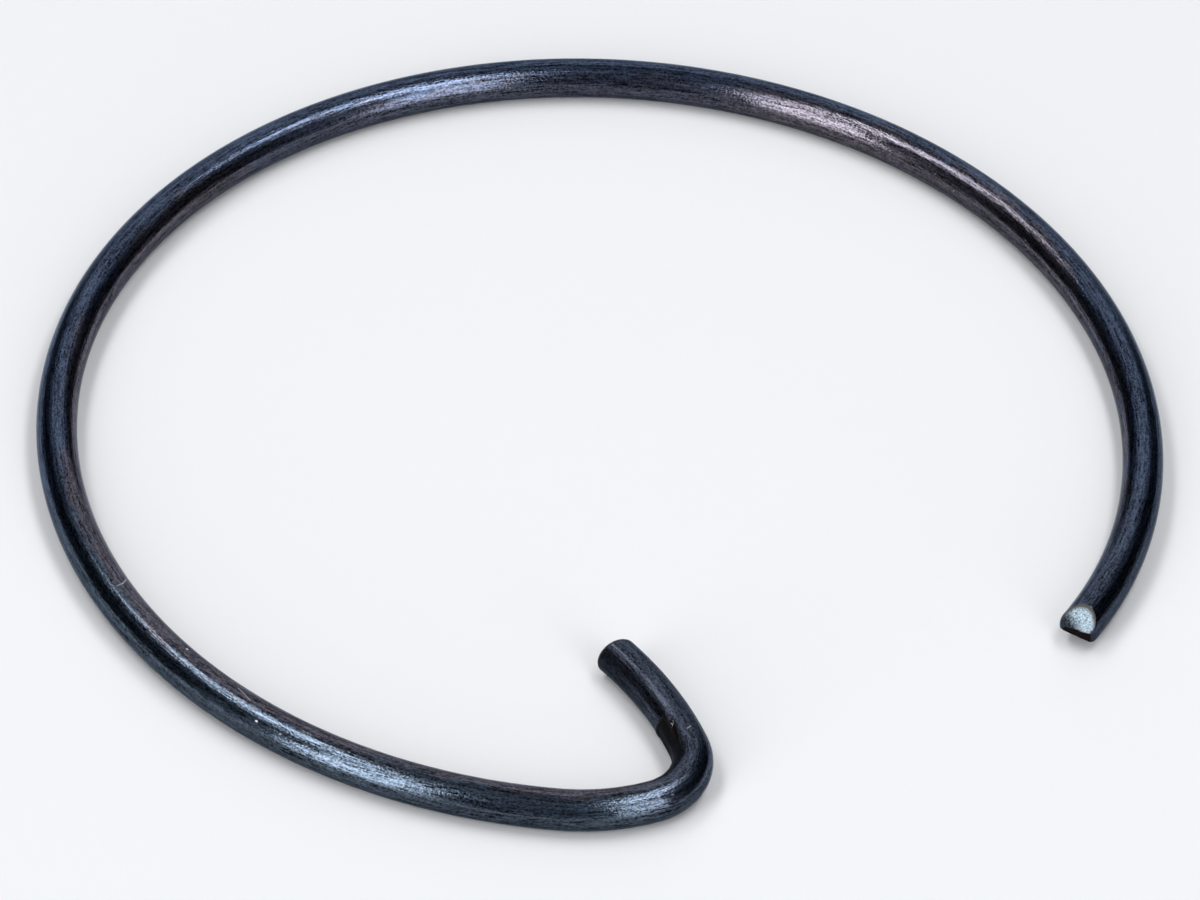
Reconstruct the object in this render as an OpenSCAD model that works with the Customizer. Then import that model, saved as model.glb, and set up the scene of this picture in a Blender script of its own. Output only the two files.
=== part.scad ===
// Wire circlip with one hooked end, lying free and flat.
// It is one length of round spring wire: an open ring, curled a little tighter towards its
// plain end, and bent inwards at the other end into a short hook that a tool can pull on.
// Origin: centre of the ring, half way up the wire. +Z is the ring's axis, and the hook
// leaves the round at the front, towards -Y. All sizes are in millimetres and degrees.

/* [Ring] */
// Outside diameter of the ring as it lies free
ring_od = 41.5; // [34:0.5:60]
// Diameter of the round wire
wire_d = 1.5; // [1.2:0.05:1.8]
// How far past the front of the ring the hook leaves the round
hook_lead = 2.1; // [1:0.1:8]
// Opening of the ring, from the root of the hook round to the plain end
gap_angle = 61.7; // [50:0.1:80]

/* [Hook] */
// Radius of the wire's centre line on the easy run into the hook
run_in_r = 7.3; // [5:0.1:10]
// Turn of that run
run_in_angle = 26.7; // [15:0.1:35]
// Radius of the forming pin, at the inside of the tight bend
bend_pin_r = 1.5; // [1:0.05:2]
// Turn of the tight bend
bend_angle = 86.6; // [65:0.1:105]
// Radius of the centre line of the slightly bowed tang
tang_r = 14.6; // [10:0.1:30]
// Length of the tang along its centre line
tang_l = 5.3; // [3.5:0.1:7]
// How far the cut across the tang's tip is off square
tip_skew = 10; // [0:0.5:20]
// Round left on the rim of the tip
tip_round = 0.14; // [0.05:0.01:0.3]

/* [Plain end] */
// Radius of the centre line on the last stretch, which curls in
curl_r = 18.3; // [14:0.1:24]
// Turn of that stretch
curl_angle = 21.7; // [10:0.1:30]
// Slope of the two cutter bevels, measured from a square cut
bevel_angle = 56; // [40:0.5:68]
// How far the upper bevel is turned about the upright
upper_bevel_turn = 3.4; // [0:0.1:10]
// How far the lower bevel is turned the other way
lower_bevel_turn = 16; // [0:0.5:20]
// Height above the wire's centre of the edge under the upper bevel
land_top = 0.19; // [0.05:0.01:0.3]
// Depth below the wire's centre of the edge over the lower bevel
land_bottom = 0.08; // [0.02:0.01:0.3]
// How far the snapped land between the bevels is off square
land_skew = 10.8; // [0:0.1:20]
// Round on the shoulders that the cutter dragged in
shoulder_round = 0.35; // [0.1:0.01:0.45]

/* [Tool marks on the hook] */
// Depth of the print that the forming pin left on the inside of the bend
print_depth = 0.04; // [0.02:0.01:0.1]
// How far that print runs out along the tang before it ends in a step
print_run_out = 1.2; // [0.6:0.1:2]
// Width of the nick over the end of the print
nick_w = 0.2; // [0.1:0.01:0.3]
// Depth of the nick at its deep end
nick_depth = 0.09; // [0.04:0.01:0.14]
// Distance of its deep end from the end of the bend
nick_reach = 0.9; // [0.5:0.05:1.4]
// Height of the nick round the wire, from the inside of the bend
nick_angle = 57; // [30:1:75]

/* [Hidden] */
ring_r = (ring_od - wire_d) / 2;
wire_r = wire_d / 2;
bend_r = bend_pin_r + wire_r;
tang_angle = tang_l / tang_r * 180 / PI;
hook_root = -90 - hook_lead;
curl_root = hook_root + gap_angle + curl_angle;
round_angle = 360 + hook_root - curl_root;
// Neighbouring elbows overlap in the middle of the bend they share: each has this much of it
shared = 0.6;
// Cutting blocks reach this far past the wire on every side
reach = 3 * wire_d;
// The rounding cups stand this much clear of the wire's side
cup_clear = 0.02;
// The rounded shoulders reach this far past the middle of the snapped land
shoulder_proud = 0.1;
// The nick climbs out of the wire over this share of its reach past the bend's end
nick_tail = 0.15;
// Fineness of the curves
$fa = 3;
$fs = 0.2;
wire_sides = 24;
cutter_sides = 48;

// A stretch of wire that sets off along +X from the origin and turns towards +Y
module bent_wire(r, angle)
    translate([0, r, 0])
        rotate([0, 0, -90])
            rotate_extrude(angle = angle)
                translate([r, 0])
                    circle(r = wire_r, $fn = wire_sides);

// Carries what follows to the far end of such a stretch
module past_bend(r, angle)
    translate([0, r, 0])
        rotate([0, 0, angle])
            translate([0, -r, 0])
                children();

// Two stretches that meet at the origin, one coming in along +X and one going on
module elbow(r_in, angle_in, r_out, angle_out)
    union() {
        mirror([1, 0, 0])
            bent_wire(r_in, angle_in);
        bent_wire(r_out, angle_out);
    }

// A point on the round, with +X along the wire, anticlockwise, and +Y towards the centre
module on_ring(angle)
    rotate([0, 0, angle])
        translate([ring_r, 0, 0])
            rotate([0, 0, 90])
                children();

// All the space on the +X side of the plane through the origin
module beyond_plane()
    translate([0, -reach, -reach])
        cube(2 * reach);

// All that lies outside a round-rimmed cup over a wire end that points along +X
module outside_cup(rim_round) {
    cup_r = wire_r + cup_clear;
    rotate([0, 90, 0])
        difference() {
            translate([0, 0, -rim_round])
                cylinder(h = reach, r = reach, $fn = cutter_sides);
            translate([0, 0, -reach])
                cylinder(h = reach, r = cup_r - rim_round, $fn = cutter_sides);
            translate([0, 0, -rim_round])
                rotate_extrude($fn = cutter_sides)
                    intersection() {
                        translate([cup_r - rim_round, 0])
                            circle(r = rim_round, $fn = cutter_sides);
                        square(reach);
                    }
        }
}

// The pinched cut across the plain end: two bevels with a snapped land between them
module pinch_cut() {
    rotate([0, 0, -land_skew])
        beyond_plane();
    translate([0, 0, land_top])
        rotate([0, -bevel_angle, -upper_bevel_turn])
            beyond_plane();
    translate([0, 0, -land_bottom])
        rotate([0, bevel_angle, lower_bevel_turn])
            beyond_plane();
    translate([shoulder_proud, 0, 0])
        outside_cup(shoulder_round);
}

// The cut across the tang's tip, a little off square and with its rim rounded
module tip_cut() {
    rotate([0, 0, -tip_skew]) {
        beyond_plane();
        outside_cup(tip_round);
    }
}

// The forming pin, pressed into the inside of the bend and along the start of the tang
module pin_print() {
    translate([0, bend_r, -reach])
        cylinder(h = 2 * reach, r = bend_pin_r + print_depth, $fn = cutter_sides);
    translate([0, wire_r - print_depth, -reach])
        cube([print_run_out, bend_pin_r + print_depth, 2 * reach]);
}

// A slanting round-bottomed nick, deepest at its end on the tang
module nick() {
    nick_r = (pow(nick_w / 2, 2) + pow(nick_depth, 2)) / (2 * nick_depth);
    nick_slope = atan(nick_depth / (nick_reach * (1 + nick_tail)));
    rotate([nick_angle, 0, 0])
        translate([nick_reach, wire_r - nick_depth + nick_r, 0])
            rotate([0, -90, -nick_slope])
                cylinder(h = 2 * nick_reach, r = nick_r, $fn = cutter_sides);
}

// From the cut across the plain end to well into the round
module plain_end()
    on_ring(curl_root)
        difference() {
            elbow(curl_r, curl_angle, ring_r, shared * round_angle);
            mirror([1, 0, 0])
                past_bend(curl_r, curl_angle)
                    pinch_cut();
        }

// From well into the round to the tight bend
module run_in()
    on_ring(hook_root)
        union() {
            elbow(ring_r, shared * round_angle, run_in_r, shared * run_in_angle);
            past_bend(run_in_r, run_in_angle)
                elbow(run_in_r, shared * run_in_angle, bend_r, shared * bend_angle);
        }

// The end of the tight bend, where the tang sets off
module tang_root()
    on_ring(hook_root)
        past_bend(run_in_r, run_in_angle)
            past_bend(bend_r, bend_angle)
                children();

// From the tight bend to the tip of the tang
module tang()
    tang_root()
        difference() {
            elbow(bend_r, shared * bend_angle, tang_r, tang_angle);
            past_bend(tang_r, tang_angle)
                tip_cut();
        }

// The whole hook, with the marks that its bending left
module hook()
    difference() {
        union() {
            run_in();
            tang();
        }
        tang_root() {
            pin_print();
            nick();
        }
    }

module ring()
    color([0.15, 0.16, 0.19])
        union() {
            plain_end();
            hook();
        }

ring();
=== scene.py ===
# %% [markdown]
# # A wire circlip in blued spring steel
# One length of round spring wire, coiled into an open ring and hooked at one end, lies flat on
# a pale table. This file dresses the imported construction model: the wire is made again as a
# fine mesh with its drawing marks and its two cut ends, and gets its blued finish, a studio and
# a camera. The construction model already says where everything is, so nothing is fitted.

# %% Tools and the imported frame
import math

import bmesh
import bpy
from mathutils import Matrix, Vector, noise


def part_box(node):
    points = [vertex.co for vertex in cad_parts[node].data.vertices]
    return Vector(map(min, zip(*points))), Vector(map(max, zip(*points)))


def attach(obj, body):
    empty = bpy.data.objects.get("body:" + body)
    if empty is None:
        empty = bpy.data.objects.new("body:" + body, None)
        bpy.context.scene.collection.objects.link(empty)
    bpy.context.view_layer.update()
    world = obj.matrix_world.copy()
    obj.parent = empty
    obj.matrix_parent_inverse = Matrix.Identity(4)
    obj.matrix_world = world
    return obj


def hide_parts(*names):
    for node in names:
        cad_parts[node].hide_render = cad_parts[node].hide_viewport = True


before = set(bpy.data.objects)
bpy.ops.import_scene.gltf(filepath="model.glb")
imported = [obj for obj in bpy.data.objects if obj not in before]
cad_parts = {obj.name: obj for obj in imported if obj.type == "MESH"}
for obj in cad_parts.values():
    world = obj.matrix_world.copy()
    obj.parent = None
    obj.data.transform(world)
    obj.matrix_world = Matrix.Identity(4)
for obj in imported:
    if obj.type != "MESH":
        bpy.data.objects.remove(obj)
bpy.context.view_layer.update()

# %% [markdown]
# ## Sizes
# The ring's box gives the two sizes that rule the rest: its height is the wire's diameter, and
# its width is the ring's outside. The bends follow each other along the wire, all turning the
# same way, so a radius and an angle for each are enough to say where any point of the wire is.
# Lengths are in metres and angles in degrees. The ring's box is a hair wider on one side than on
# the other, and the smaller half is taken so that the wire stays inside it.

# %% Sizes of the wire and its bends
MM = 0.001
low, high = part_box("ring")
WIRE_R = (high.z - low.z) / 2
RING_R = min(-low.x, high.x) - WIRE_R
CURL_R, CURL_TURN = 18.3 * MM, 21.7
RUN_IN_R, RUN_IN_TURN = 7.3 * MM, 26.7
PIN_R, BEND_TURN = 1.5 * MM, 86.6
BEND_R = PIN_R + WIRE_R
TANG_R, TANG_L = 14.6 * MM, 5.38 * MM
HOOK_ROOT = -92.1
GAP = 61.7
ROUND_TURN = 360 - GAP - CURL_TURN
print(f"wire {2000 * WIRE_R:.2f} mm thick, ring {2000 * (RING_R + WIRE_R):.1f} mm across outside")

# %% [markdown]
# ## The path of the wire
# A wire is drawn straight and then bent, and it is modelled that way here too. Everything that
# belongs to the straight wire, such as its cut ends and its marks, is easiest to make on a
# straight bar along X. This helper then says where a point of the bar goes when the bar is
# bent: it walks the arcs until it reaches the point's distance along the wire.

# %% Where each point of the straight bar goes
ARCS = [
    (CURL_R, math.radians(CURL_TURN)),
    (RING_R, math.radians(ROUND_TURN)),
    (RUN_IN_R, math.radians(RUN_IN_TURN)),
    (BEND_R, math.radians(BEND_TURN)),
    (TANG_R, TANG_L / TANG_R),
]


def arc_starts():
    """Each arc's start along the wire, its start heading and its centre"""
    heading = math.radians(HOOK_ROOT + GAP + 90)
    curl_end = heading + ARCS[0][1] - math.pi / 2
    centre = (RING_R - CURL_R) * Vector((math.cos(curl_end), math.sin(curl_end), 0))
    start, rows = 0.0, []
    for i, (radius, turn) in enumerate(ARCS):
        rows.append((start, heading, centre.copy()))
        start += radius * turn
        heading += turn
        if i + 1 < len(ARCS):
            inward = Vector((-math.sin(heading), math.cos(heading), 0))
            centre += inward * (ARCS[i + 1][0] - radius)
    return rows, start


STARTS, WIRE_L = arc_starts()


def bent(x, y, z):
    """The bar's point x along it, y towards the inside of the bends and z up, once it is bent"""
    i = max((k for k in range(len(ARCS)) if STARTS[k][0] <= x), default=0)
    start, heading, centre = STARTS[i]
    radius = ARCS[i][0]
    a = heading + (x - start) / radius
    return centre + (radius - y) * Vector((math.sin(a), -math.cos(a), 0)) + Vector((0, 0, z))


TANG_START = STARTS[4][0]
BEND_START = STARTS[3][0]
print(f"{1000 * WIRE_L:.1f} mm of wire; the hook starts {1000 * STARTS[2][0]:.1f} mm along it")

# %% [markdown]
# ## The cut across the plain end
# The coiling machine pinches the wire off between two blunt cutters. Each leaves a steep
# bevel, the last of the metal between them snaps, and the skin on both sides is dragged over
# into a rounded shoulder. The cut is a height field: for every point of the round section it
# says how far the metal reaches. Three planes give the bevels and the land, and the shoulders
# lower it near the skin.

# %% How far the metal reaches at the plain end
BEVEL = math.radians(56)
UPPER_TURN, LOWER_TURN = math.radians(3.4), math.radians(6)
LAND_TOP, LAND_BOTTOM = 0.19 * MM, 0.12 * MM
LAND_SKEW = math.radians(10.8)


def reach_of_bevel(out, up, slope, turn, edge):
    """A bevel's reach at a point of the section; it starts at the height edge and slopes away"""
    return (edge - up) * math.tan(slope) / math.cos(turn) - out * math.tan(turn)


def rounded(distance, radius):
    """The drop of a rounded edge, distance in from where the side wall starts"""
    if distance >= radius:
        return 0.0
    inside = radius - max(distance, 0.0)
    return radius - math.sqrt(max(radius * radius - inside * inside, 0.0))


def plain_end_reach(out, up):
    """The face of the plain end that a point of the section is on, and its reach there"""
    upper = reach_of_bevel(out, up, BEVEL, UPPER_TURN, LAND_TOP)
    lower = reach_of_bevel(out, -up, BEVEL, -LOWER_TURN, LAND_BOTTOM)
    land = -out * math.tan(LAND_SKEW)
    face, reach = min(("sheared", upper), ("snapped", land), ("lower", lower), key=lambda f: f[1])
    return face, reach


print("reach of the top, the middle and the bottom, mm:",
      [round(1000 * plain_end_reach(0, k * WIRE_R)[1], 2) for k in (1, 0, -1)])

# %% [markdown]
# ## The straight bar
# The bar is turned like a piece on a lathe: its profile runs from the middle of one end out to
# the rim, along the bar and in to the middle of the other end, and one spin makes the surface.
# The profile's points lie close together where something happens, at the two ends and along
# the hook, and further apart on the plain round.

# %% A straight bar with closed ends
SIDES = 96
CAP_RINGS = 36
FINE, MIDDLE, COARSE = 0.06 * MM, 0.09 * MM, 0.21 * MM
END_ZONE = 3.0 * MM
SAME_POINT = 0.0001 * MM


def bar_profile():
    """The profile's points, each a distance along the bar and a distance from its axis"""
    cap = [WIRE_R * math.sin(math.pi / 2 * k / CAP_RINGS) for k in range(CAP_RINGS)]
    wall, x = [], 0.0
    while x < WIRE_L - FINE / 4:
        wall.append((x, WIRE_R))
        near_end = min(x, WIRE_L - x) < END_ZONE / 2
        x += FINE if near_end else MIDDLE if x > STARTS[2][0] else COARSE
    wall.append((WIRE_L, WIRE_R))
    return [(0.0, r) for r in cap] + wall + [(WIRE_L, r) for r in reversed(cap)]


bar = bmesh.new()
points = [bar.verts.new((x, r, 0)) for x, r in bar_profile()]
lines = [bar.edges.new(pair) for pair in zip(points, points[1:])]
bmesh.ops.spin(bar, geom=points + lines, axis=(1, 0, 0), angle=math.tau, steps=SIDES,
               use_merge=True)
bmesh.ops.remove_doubles(bar, verts=bar.verts, dist=SAME_POINT)
bmesh.ops.recalc_face_normals(bar, faces=bar.faces)
print(len(points), "points in the profile,", len(bar.faces), "faces on the bar")

# %% [markdown]
# ## Cutting and marking the bar
# Now each point of the bar is moved to where the tools left it: the pinched end and the tang's
# tip get their shapes, the forming pin flattens the inside of the tight bend and leaves a small
# step where it stopped, and the bending finger leaves a slanting nick over that step.

# %% The cuts and the tool marks
SHOULDER_PROUD = 0.1 * MM
SHOULDER_OUT, SHOULDER_IN = 0.6 * MM, 0.45 * MM
TIP_SKEW, TIP_ROUND = math.radians(10), 0.14 * MM
PRINT_DEPTH, PRINT_END = 0.04 * MM, TANG_START + 1.2 * MM
PRINT_LEAD = 0.8 * MM
LIP_H, LIP_L = 0.03 * MM, 0.1 * MM
NICK_A = (TANG_START - 0.13 * MM, math.radians(48))
NICK_B = (TANG_START + 0.93 * MM, math.radians(60))
NICK_W, NICK_DEPTH = 0.11 * MM, 0.09 * MM
GRAIN_DEPTH, SNAPPED_GRAIN, SHEARED_GRAIN = 0.012 * MM, 0.09 * MM, 0.14 * MM


def smooth(edge0, edge1, value):
    """0 before edge0, 1 after edge1 and a soft step between them"""
    t = min(max((value - edge0) / (edge1 - edge0), 0.0), 1.0)
    return t * t * (3 - 2 * t)


def rough(x, y, size):
    """Noise with lumps of about this size, from -1 to 1"""
    return noise.noise(Vector((x, y, 0)) / size)


def end_cut(out, up):
    """A point's face at the plain end, and how far it reaches with its shoulder and its grain"""
    name, reach = plain_end_reach(out, up)
    to_skin = WIRE_R - math.hypot(out, up)
    side = smooth(-0.3 * WIRE_R, 0.5 * WIRE_R, out)
    shoulder = SHOULDER_PROUD - rounded(to_skin, SHOULDER_IN + side * (SHOULDER_OUT - SHOULDER_IN))
    if shoulder < reach:
        return "skin", shoulder
    size = SNAPPED_GRAIN if name == "snapped" else SHEARED_GRAIN
    return name, reach + GRAIN_DEPTH * rough(out, 2.0 * up, size)


def marked(x, y, z):
    """Where the forming tools left a point of the bar, and how much soot and painted shade it gets
    """
    flat = smooth(BEND_START - PRINT_LEAD, BEND_START + PRINT_LEAD, x) * (x < PRINT_END)
    # The soot value is tool soot and, in the print and the nick, painted shade as well
    soot_and_shade = 0.8 * flat * smooth(0.2, 0.7, y / WIRE_R)
    y = min(y, WIRE_R - PRINT_DEPTH * flat)
    lip = math.exp(-((x - PRINT_END - LIP_L / 2) / LIP_L) ** 2) * smooth(0.2, 0.9, y / WIRE_R)
    radius, angle = math.hypot(y, z), math.atan2(z, y)
    along, across = NICK_B[0] - NICK_A[0], WIRE_R * (NICK_B[1] - NICK_A[1])
    px, pa = x - NICK_A[0], WIRE_R * (angle - NICK_A[1])
    t = (px * along + pa * across) / (along ** 2 + across ** 2)
    d = abs(px * across - pa * along) / math.hypot(along, across) / NICK_W
    front = 1 - smooth(0.95, 1.05, t)
    radius += LIP_H * lip - NICK_DEPTH * max(0.0, 1 - d * d) ** 2 * smooth(-0.1, 0.5, t) * front
    soot_and_shade = max(soot_and_shade, (1 - smooth(0.5, 1.3, d)) * smooth(-0.6, 0.2, t) * front)
    return (x, radius * math.cos(angle), radius * math.sin(angle)), soot_and_shade


# Soot and painted shade of the tool marks, kept on the bar's points
soot_and_shade_layer = bar.verts.layers.float.new("soot_and_shade")
for v in bar.verts:
    x, y, z = v.co
    if x < END_ZONE:
        name, reach = end_cut(-y, z)
        v.co.x = x - reach * (1 - x / END_ZONE)
    elif x > WIRE_L - END_ZONE:
        reach = y * math.tan(TIP_SKEW) - rounded(WIRE_R - math.hypot(y, z), TIP_ROUND)
        v.co.x = x + reach * (1 - (WIRE_L - x) / END_ZONE)
    if x > BEND_START - PRINT_LEAD:
        v.co, v[soot_and_shade_layer] = marked(*v.co)

# %% [markdown]
# ## Bending the wire
# Before the bar is bent, each point's place on it is kept as an attribute. Streaks, scratches
# and stains belong to the straight wire, so the finish is painted in these coordinates, and it
# follows the wire round every bend with no seam. The faces of the cuts get materials of their
# own, because the blued skin stops at them.

# %% From the bar to the finished wire
INSIDE_RIM = 0.995 * WIRE_R
SHARP_ANGLE = math.radians(35)
straight = bar.verts.layers.float_vector.new("straight")
for v in bar.verts:
    v[straight] = v.co / MM
for f in bar.faces:
    x, y, z = f.calc_center_median()
    cap_at_start = f.normal.x < -0.3 and x < END_ZONE
    if cap_at_start and math.hypot(y, z) < INSIDE_RIM:
        name = end_cut(-y, z)[0]
        f.material_index = {"skin": 0, "sheared": 1, "snapped": 2, "lower": 1}[name]
    elif x > WIRE_L - END_ZONE and f.normal.x > 0.8:
        f.material_index = 1
for v in bar.verts:
    v.co = bent(*v.co)
    v.co.z += (low.z + high.z) / 2

wire_mesh = bpy.data.meshes.new("wire")
bar.to_mesh(wire_mesh)
bar.free()
wire = bpy.data.objects.new("wire", wire_mesh)
bpy.context.scene.collection.objects.link(wire)
wire_mesh.shade_smooth()
wire_mesh.set_sharp_from_angle(angle=SHARP_ANGLE)
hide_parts("ring")
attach(wire, "root")
print(len(wire_mesh.vertices), "points,", 2 * len(wire_mesh.polygons), "triangles")

# %% [markdown]
# ## Shader sums
# A finish is easier to read as a sum than as a tangle of nodes. This small class wraps a
# shader's value, so that an expression on values adds the Math nodes itself, and its add method
# makes any other node.

# %% A class for shader values
class Value:
    """One output of a node; + - * ** on it add Math nodes"""

    def __init__(self, tree, socket):
        self.tree, self.socket = tree, socket

    def add(self, kind, settings=None, inputs=None, output=0):
        """Adds a node of this kind: settings first, then its inputs' values or links"""
        return added(self.tree, kind, settings, inputs, output)

    def math(self, operation, a, b):
        return self.add("ShaderNodeMath", {"operation": operation}, {0: a, 1: b})

    def __add__(self, other):
        return self.math("ADD", self, other)

    def __sub__(self, other):
        return self.math("SUBTRACT", self, other)

    def __rsub__(self, other):
        return self.math("SUBTRACT", other, self)

    def __mul__(self, other):
        return self.math("MULTIPLY", self, other)

    def __pow__(self, other):
        return self.math("POWER", self, other)

    __radd__ = __add__
    __rmul__ = __mul__

    def step(self, low, high):
        """A soft step from 0 at low to 1 at high"""
        return self.add("ShaderNodeMapRange", {"interpolation_type": "SMOOTHSTEP"},
                        {"Value": self, "From Min": low, "From Max": high})

    def blend(self, a, b):
        """Colour a where this value is 0 and colour b where it is 1"""
        return self.add("ShaderNodeMix", {"data_type": "RGBA"},
                        {"Factor": self, "A": a, "B": b}, "Result")

    def vector(self, operation, a, b, output="Vector"):
        """Vector arithmetic on two vectors, or on a vector and the value that scales it"""
        second = "Scale" if operation == "SCALE" else 1
        return self.add("ShaderNodeVectorMath", {"operation": operation}, {0: a, second: b}, output)


def named_socket(sockets, key):
    """The enabled socket with this name, or the one at this number"""
    if isinstance(key, int):
        return sockets[key]
    return next(s for s in sockets if s.name == key and s.enabled)


def added(tree, kind, settings=None, inputs=None, output=0):
    """Adds a node to a tree and returns one of its outputs as a Value"""
    node = tree.nodes.new(kind)
    for key, value in (settings or {}).items():
        setattr(node, key, value)
    for key, value in (inputs or {}).items():
        socket = named_socket(node.inputs, key)
        if isinstance(value, Value):
            tree.links.new(value.socket, socket)
        else:
            socket.default_value = value
    return Value(tree, named_socket(node.outputs, output))


def material(name, **constants):
    """A new material with its Principled shader, and the sockets that stay the same all over"""
    made = bpy.data.materials.new(name)
    made.use_nodes = True
    shader = made.node_tree.nodes["Principled BSDF"]
    for key, value in constants.items():
        shader.inputs[key.replace("_", " ")].default_value = value
    return made, made.node_tree, shader


def feed(tree, shader, **values):
    """Links values to a shader's sockets"""
    for key, value in values.items():
        tree.links.new(value.socket, shader.inputs[key.replace("_", " ")])


print("shader values are ready")

# %% [markdown]
# ## Marks on the wire
# Two kinds of node sums make the marks. Both read a point's place on the straight wire, so they
# follow the bends. Noise that is drawn out along the wire gives the lines from the drawing die.
# Its lumps are given in millimetres. A mark between two points of the skin gives specks of dust,
# bits of lint and one painted glint: it is 1 near the line that joins the points. A third sum
# shades the lines as a relief.

# %% Places, streaks and thin marks
def straight_place(tree):
    """A point's place on the straight wire in mm, and its three parts"""
    place = added(tree, "ShaderNodeAttribute", {"attribute_name": "straight"}, output="Vector")
    parts = [place.add("ShaderNodeSeparateXYZ", None, {"Vector": place}, axis) for axis in "XYZ"]
    return place, parts


def streaks(place, stretch, size, detail=2.0, seed=(0, 0, 0)):
    """Noise with lumps of this size, drawn out along the wire by this much"""
    scale = (1 / stretch / size, 1 / size, 1 / size)
    scaled = place.add("ShaderNodeMapping", {"vector_type": "POINT"},
                       {"Vector": place, "Location": seed, "Scale": scale}, "Vector")
    return place.add("ShaderNodeTexNoise", {"noise_dimensions": "3D"},
                     {"Vector": scaled, "Scale": 1.0, "Detail": detail}, "Fac")


def on_skin(x, angle):
    """The straight wire's point at x mm along it and this many degrees round from the inside"""
    angle = math.radians(angle)
    return Vector((x, WIRE_R / MM * math.cos(angle), WIRE_R / MM * math.sin(angle)))


def thin_mark(place, start, end, width):
    """1 on a thin mark from one point of the skin to another, and 0 off it"""
    start, end = on_skin(*start), on_skin(*end)
    run = end - start
    offset = place.vector("SUBTRACT", place, start)
    share = place.vector("DOT_PRODUCT", offset, run / run.length_squared, "Value")
    share = place.add("ShaderNodeClamp", None, {"Value": share})
    distance = place.vector("DISTANCE", offset, place.vector("SCALE", run, share), "Value")
    return 1 - distance.step(0.3 * width, 0.7 * width)


def bump(depth, height):
    """The shading of a relief, its full depth given in metres"""
    return height.add("ShaderNodeBump", None,
                      {"Strength": 1.0, "Distance": depth, "Height": height}, "Normal")


# Where each mark starts and ends (mm along the wire, degrees round it), its width and strength
DUST_AND_GLINT_MARKS = [
    ((92.14, 134), (92.18, 134), 0.070, 1.0),
    ((93.17, 135), (93.20, 135), 0.055, 0.5),
    ((87.96, 70), (88.00, 69), 0.060, 1.0),
    ((22.60, 30), (22.62, 30), 0.050, 0.4),
    ((26.72, 11), (26.74, 11), 0.050, 0.3),
    ((27.76, 27), (27.78, 27), 0.050, 0.3),
    ((18.60, 55), (18.62, 55), 0.050, 0.3),
    ((83.08, 25), (83.64, 56), 0.050, 0.35),
    ((83.64, 56), (83.84, 75), 0.050, 0.35),
    ((83.84, 75), (83.88, 95), 0.050, 0.35),
    ((90.72, 75), (91.46, 90), 0.040, 0.35),
    ((110.46, 89), (110.54, 101), 0.050, 0.35),
    # A painted glint in the bend, drawn like the dust
    ((107.28, 130), (107.32, 131), 0.060, 0.35),
]
print(len(DUST_AND_GLINT_MARKS), "specks and bits of lint")

# %% [markdown]
# ## Blued spring wire
# The wire is drawn through a die and heated until a thin blue-black oxide grows. So it is a dark
# metal. The oxide is thicker in some places than in others: the outside of the ring is blue and
# the inside is brown, with a cloudy border that wanders round the wire. The brown reaches over
# the top in two places, and between them, at the back, the blue goes right round. Both ends
# are navy blue. The wire's low sides are darkened as painted shade from the table close under
# them, and the outside near the plain end and the inside of the tang's tip are darker too.
# The die's fine lines break each lamp's reflection up into grains. Two finishes are mixed for
# that: a satin one that carries the grain, and a more polished one that keeps the edges of the
# reflections crisp. The tang was scuffed when it was bent and has little of the polished one.
# The print and the nick are darkened, partly by soot and partly as painted shade in these hollows,
# with a few bare flecks of steel at the nick's deep end.

# %% The blued skin
BLUE, DEEP_BLUE = (0.069, 0.090, 0.119, 1), (0.061, 0.080, 0.124, 1)
BROWN, NAVY = (0.098, 0.090, 0.108, 1), (0.061, 0.074, 0.105, 1)
DUST_AND_GLINT, SOOT_AND_SHADE, BARE = (0.7, 0.7, 0.72, 1), (0.011, 0.009, 0.008, 1), (0.7, 0.7, 0.72, 1)
EDGE_TINT = (0.56, 0.59, 0.64, 1)
POLISH, POLISHED_ROUGHNESS, SATIN_ROUGHNESS = 0.72, 0.10, 0.29
LINE_DEPTH = 0.014 * MM
BEND_MM, TANG_MM, NICK_MM = BEND_START / MM, TANG_START / MM, NICK_B[0] / MM

blued, tree, shader = material("blued", Specular_Tint=EDGE_TINT)
place, (along, inward, upward) = straight_place(tree)
soot_and_shade = added(tree, "ShaderNodeAttribute", {"attribute_name": "soot_and_shade"}, output="Fac")
fine = streaks(place, 9.0, 0.06)
long = streaks(place, 24.0, 0.11, seed=(3, 7, 1))
grain = streaks(place, 1.5, 0.065, seed=(1, 4, 8))
cloud = streaks(place, 2.5, 1.4, 3.0, (9, 2, 5))
patch = streaks(place, 3.0, 0.2, seed=(6, 6, 2))

# How far the brown reaches round the wire, by millimetres along it
at_back = along.step(34, 39) - along.step(56, 60)
border = 0.52 - 0.47 * along.step(18, 22) + 0.45 * at_back
border = border + 0.35 * along.step(56, 60) - 0.45 * along.step(74, 78)
brown = (inward - border + 1.0 * (cloud - 0.5) + 0.8 * (patch - 0.5)).step(-0.2, 0.2)
brown = brown * (1 - 0.5 * at_back)
tint = brown.blend(along.step(76, 84).blend(DEEP_BLUE, BLUE), BROWN)
at_ends = 1 - along.step(3, 10) + along.step(BEND_MM - 2, BEND_MM + 1)
tint = (0.85 * at_ends).blend(tint, NAVY)

# The lines' grain, the painted shade on the low sides, and other places where the skin is darker
scuffed = along.step(TANG_MM - 1.0, TANG_MM + 0.6)
brightness = 0.65 * fine.step(0.38, 0.62) + 0.65 * long.step(0.36, 0.64)
brightness = brightness + 0.95 * grain.step(0.38, 0.62)
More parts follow.
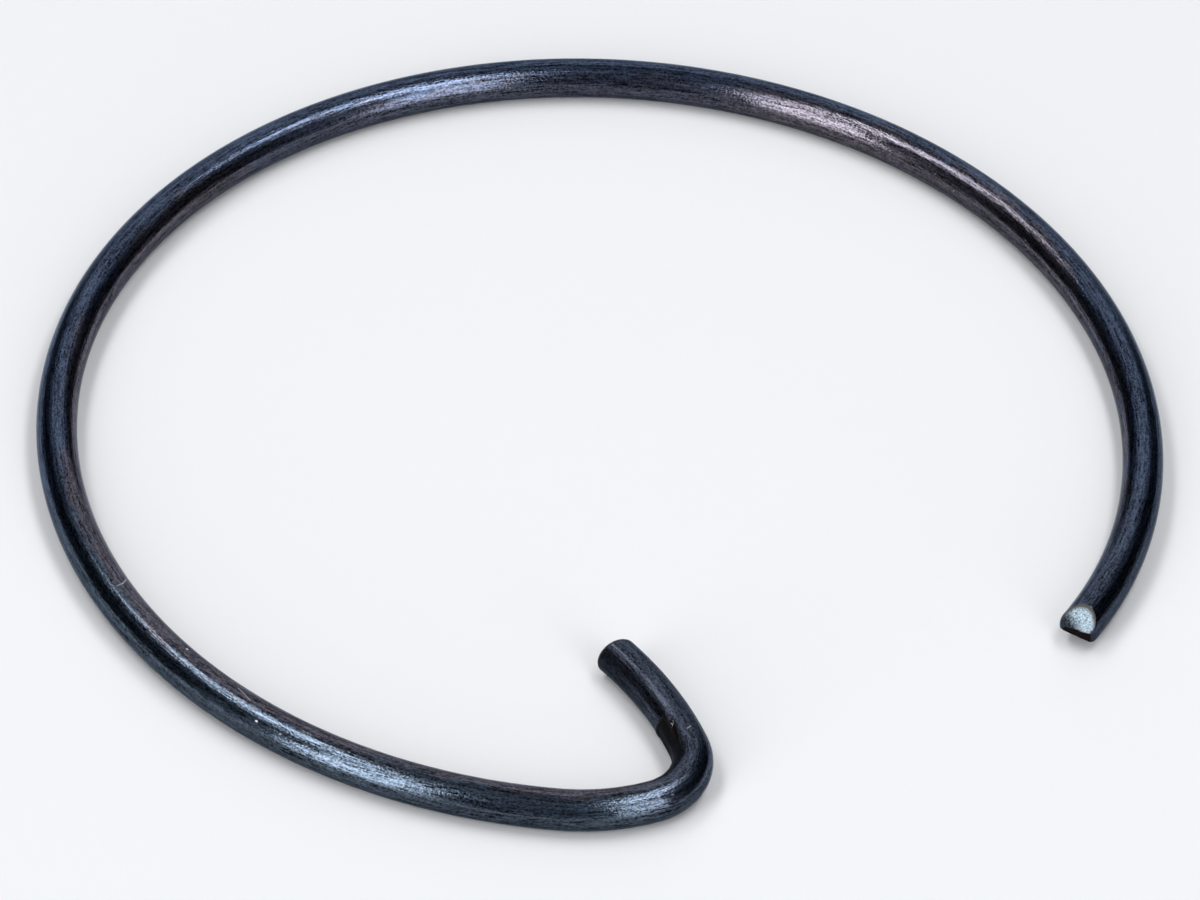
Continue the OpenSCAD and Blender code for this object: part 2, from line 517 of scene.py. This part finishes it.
# Painted shade: the low sides, close over the table, are made darker
shaded_low_side = 1 - upward.step(0.1, 0.36)
right_side = (1 - inward.step(-0.55, -0.1)) * (1 - along.step(24, 44))
tip_inside = along.step(TANG_MM + 1.5, TANG_MM + 4.2) * inward.step(0.0, 0.4)
brightness = brightness * (1 - 0.46 * shaded_low_side) * (1 - 0.30 * right_side)
brightness = brightness * (1 - 0.20 * scuffed) * (1 - 0.52 * tip_inside)
tint = tint.vector("SCALE", tint, brightness)

# Soot with painted shade in the hollows, bare flecks, dust and a painted glint lie over the skin
flecks = grain.step(0.58, 0.66) * soot_and_shade.step(0.82, 0.95)
flecks = flecks * along.step(NICK_MM - 0.4, NICK_MM - 0.3)
tint = flecks.blend(soot_and_shade.step(0.0, 1.0).blend(tint, SOOT_AND_SHADE), BARE)
# Pale marks: dust and lint, and one painted glint in the bend
dust_and_glint = sum((strength * thin_mark(place, *mark) for *mark, strength in DUST_AND_GLINT_MARKS), 0.0)
tint = dust_and_glint.blend(tint, DUST_AND_GLINT)

# The satin and the polished finish, mixed
relief = bump(LINE_DEPTH, fine * 0.5 + long * 0.6 + grain * 0.5)
feed(tree, shader, Base_Color=tint, Metallic=1 - dust_and_glint, Normal=relief,
     Roughness=SATIN_ROUGHNESS + 0.08 * scuffed + 0.3 * dust_and_glint + 0.35 * soot_and_shade)
polished = tint.add("ShaderNodeBsdfPrincipled", None,
                    {"Metallic": 1.0, "Roughness": POLISHED_ROUGHNESS, "Specular Tint": EDGE_TINT,
                     "Base Color": tint, "Normal": relief}, "BSDF")
satin = Value(tree, shader.outputs["BSDF"])
share = POLISH * (1 - 0.65 * scuffed) * (1 - dust_and_glint) * (1 - soot_and_shade)
both = share.add("ShaderNodeMixShader", None, {0: share, 1: satin, 2: polished}, "Shader")
tree.links.new(both.socket, tree.nodes["Material Output"].inputs["Surface"])
print("blued skin:", len(tree.nodes), "nodes")

# %% [markdown]
# ## Bare steel at the cuts
# The cutter sheared the upper bevel, so it is bright, with a mottled grain, and it goes dull
# towards its lower inner corner. A thin brown rim shows where the skin was dragged over. The
# land under it snapped without a cutter touching it: it is grainy and has gone nearly black,
# and the burr at its outer upper corner gets a painted glint as a pale line. The tang's tip is
# sheared in the same way.

# %% The sheared and the snapped faces
DULL, MID, BRIGHT = (0.08, 0.105, 0.13, 1), (0.30, 0.40, 0.48, 1), (0.61, 0.70, 0.75, 1)
TORN_DARK, TORN = (0.012, 0.014, 0.016, 1), (0.040, 0.048, 0.057, 1)
RIM = (0.082, 0.076, 0.070, 1)
LAND_DARK, LAND_BROWN = (0.0005, 0.0005, 0.0005, 1), (0.007, 0.004, 0.0035, 1)
BURR_GLINT = (0.35, 0.36, 0.40, 1)
SHEARED_DEPTH, SNAPPED_DEPTH = 0.01 * MM, 0.02 * MM

sheared, tree, shader = material("sheared", Metallic=1.0)
place, (_, inward, upward) = straight_place(tree)
mottle = streaks(place, 1.0, 0.08, 3.0)
flecks = streaks(place, 1.0, 0.05, 3.0, (5, 1, 2))
bright = flecks.step(0.45, 0.68).blend(mottle.step(0.34, 0.5).blend(DULL, MID), BRIGHT)
torn = mottle.step(0.4, 0.6).blend(TORN_DARK, TORN)
smeared = (upward - 0.42 * inward + 0.3 * (mottle - 0.5)).step(0.1, 0.45)
from_axis = (inward * inward + upward * upward) ** 0.5
tint = (from_axis + 0.12 * upward).step(0.67, 0.80).blend(smeared.blend(torn, bright), RIM)
feed(tree, shader, Base_Color=tint, Roughness=0.42 + 0.2 * mottle,
     Normal=bump(SHEARED_DEPTH, mottle))

snapped, tree, shader = material("snapped", Metallic=0.0, Specular_IOR_Level=0.05)
place, (_, inward, upward) = straight_place(tree)
mottle = streaks(place, 1.0, 0.07, 3.0)
# Painted highlight: a pale line along the burr at the land's outer upper edge
burr_glint = (upward + 0.089 * inward).step(0.12, 0.15) * (1 - inward.step(-0.35, -0.1))
tint = burr_glint.blend(mottle.step(0.4, 0.65).blend(LAND_DARK, LAND_BROWN), BURR_GLINT)
feed(tree, shader, Base_Color=tint, Roughness=0.5 + 0.2 * mottle,
     Normal=bump(SNAPPED_DEPTH, mottle))

for finish in (blued, sheared, snapped):
    wire_mesh.materials.append(finish)
print("finishes:", [m.name for m in wire_mesh.materials])

# %% [markdown]
# ## The table
# The ring lies on a pale satin table. Its own colour makes the pale background, also where the
# wire reflects it. The lamps stay low enough that it isn't pure white from the front; seen from
# low behind, it mirrors the front lamps and is.

# %% The table
TABLE_SIZE = 3.0
table_mesh = bpy.data.meshes.new("table")
bm = bmesh.new()
bmesh.ops.create_grid(bm, x_segments=1, y_segments=1, size=TABLE_SIZE / 2,
                      matrix=Matrix.Translation((0, 0, low.z)))
bm.to_mesh(table_mesh)
bm.free()
table = bpy.data.objects.new("table", table_mesh)
bpy.context.scene.collection.objects.link(table)
paper = material("paper", Base_Color=(0.84, 0.84, 0.84, 1), Roughness=0.35)[0]
table_mesh.materials.append(paper)
print("table at", round(1000 * low.z, 2), "mm")

# %% [markdown]
# ## The studio
# Two long soft lamps hang over the table to the left and the right, two tall ones stand in
# front at either side, and a large dim panel stands behind. A dark glossy wire shows its
# surroundings more than its own colour, so the room above is dim, as a studio is, and it is
# paler only low down at the far sides.

# %% The lamps and the room
LIGHT = 4.7
STRIP_H = 0.246
BACK_SHARE = 0.75
FAR_SIDES, DIM = (0.13, 0.15, 0.19, 1), (0.0155, 0.019, 0.027, 1)


def lamp(name, place, target, size, along, radiance):
    """A soft rectangular lamp that faces a point, its long side along a given direction"""
    data = bpy.data.lights.new(name, "AREA")
    data.shape, data.size, data.size_y = "RECTANGLE", size[0], size[1]
    data.energy = radiance * math.pi * size[0] * size[1]
    outward = (Vector(place) - Vector(target)).normalized()
    across = Vector(along).cross(outward).normalized()
    turn = Matrix((across, outward.cross(across), outward)).transposed()
    made = bpy.data.objects.new(name, data)
    made.matrix_world = Matrix.Translation(place) @ turn.to_4x4()
    bpy.context.scene.collection.objects.link(made)


def strip(name, x, ends, size, radiance):
    """A long lamp that hangs over the table along Y, brighter in front of its middle"""
    front, middle, back = ends
    lamp(name + "_front", (x, (front + middle) / 2, STRIP_H), (0, (front + middle) / 2, 0),
         (size, middle - front), (0, 1, 0), radiance)
    lamp(name + "_back", (x, (middle + back) / 2, STRIP_H), (0, (middle + back) / 2, 0),
         (size, back - middle), (0, 1, 0), BACK_SHARE * radiance)


def box(name, bearing, distance, size, radiance):
    """A lamp that stands on the table, at a bearing from the front towards the right"""
    angle, middle = math.radians(bearing), size[1] / 2
    place = (distance * math.sin(angle), -distance * math.cos(angle), middle)
    lamp(name, place, (0, 0, middle), size, (0, 0, 1), radiance)


# Each strip's place to the right, its front, middle and back ends, its width and its radiance
strip("left_strip", -0.118, (-0.082, 0.045, 0.150), 0.066, 1.2 * LIGHT)
strip("right_strip", 0.086, (-0.090, 0.045, 0.127), 0.064, 1.3 * LIGHT)
# Each box's bearing and distance, its width and height, and its radiance
box("left_box", -41, 0.45, (0.19, 0.64), 1.0 * LIGHT)
box("right_box", 38, 0.45, (0.21, 0.66), 0.72 * LIGHT)
box("back_panel", 180, 0.8, (0.75, 1.1), 0.51)

world = bpy.data.worlds.new("room")
bpy.context.scene.world = world
world.use_nodes = True
sky = world.node_tree
aim = added(sky, "ShaderNodeTexCoord", output="Generated")
x, y, z = (aim.add("ShaderNodeSeparateXYZ", None, {"Vector": aim}, axis) for axis in "XYZ")
sideways = aim.add("ShaderNodeMath", {"operation": "ABSOLUTE"}, {0: x})
overhead_or_front = sideways.step(0.4, 0.6) * y.step(-0.4, -0.15) * (1 - z.step(0.55, 0.8))
shade = overhead_or_front.blend(FAR_SIDES, DIM)
sky.links.new(shade.socket, sky.nodes["Background"].inputs["Color"])

# %% [markdown]
# ## The camera
# The photograph looks down on the ring from the front at about 42 degrees, with a long lens
# from about a third of a metre away, and leans a little to the side. Its focal length is known
# in pixels of the photograph, so the photograph's width turns it into millimetres of lens.

# %% The camera
DISTANCE = 0.34181
ELEVATION, ROLL = math.radians(42.4745), math.radians(3.1112)
SLIDE_SIDE, SLIDE_UP = 0.024 * MM, 0.766 * MM
FOCAL_PX, IMAGE_W = 9283.58, 1200
SENSOR_W = 36
back = Vector((0, -math.cos(ELEVATION), math.sin(ELEVATION)))
turn = Matrix.Rotation(math.pi / 2 - ELEVATION, 4, "X") @ Matrix.Rotation(ROLL, 4, "Z")
camera_data = bpy.data.cameras.new("camera")
camera_data.sensor_width = SENSOR_W
camera_data.lens = FOCAL_PX / IMAGE_W * SENSOR_W
camera_data.clip_start = 0.01
camera = bpy.data.objects.new("camera", camera_data)
slide = turn.to_3x3() @ Vector((SLIDE_SIDE, SLIDE_UP, 0))
camera.matrix_world = Matrix.Translation(DISTANCE * back - slide) @ turn
bpy.context.scene.collection.objects.link(camera)
bpy.context.scene.camera = camera
bpy.context.scene.view_settings.view_transform = "Standard"
print("lens:", round(camera_data.lens, 1), "mm")
